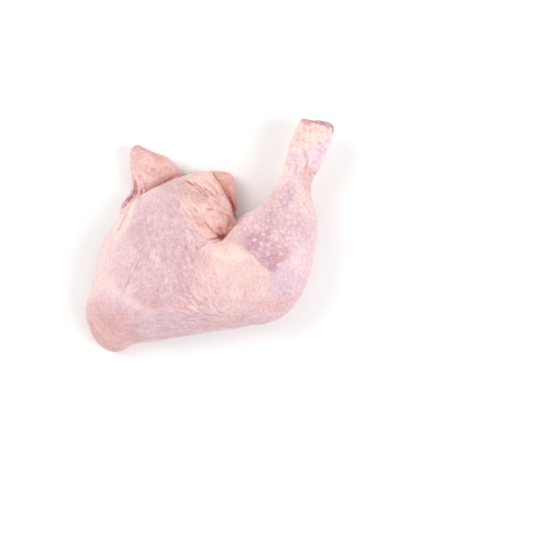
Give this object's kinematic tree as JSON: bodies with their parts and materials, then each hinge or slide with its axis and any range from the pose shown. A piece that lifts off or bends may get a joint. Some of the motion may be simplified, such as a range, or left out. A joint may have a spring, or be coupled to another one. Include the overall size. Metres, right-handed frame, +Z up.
{
  "type": "raw chicken leg quarter",
  "caption": "Raw chicken leg quarter lying skin side up, its drumstick folded against the thigh, with the cut hock joint showing at the shank's end.",
  "frame": {"origin": "under the middle of the leg's bounding box, on the surface it rests on", "axes": "+X across the leg from the thigh to the drumstick, +Y from the knee towards the hock, +Z up out of the skin side"},
  "size_m": [0.174, 0.163, 0.043],
  "materials": {
    "skin": "moist raw skin over fat and flesh, pale pink, slightly glossy",
    "cartilage": "wet purple-pink joint cartilage"
  },
  "bodies": {
    "root": {"leg_quarter": "skin", "hock_joint": "cartilage"}
  },
  "joints": []
}
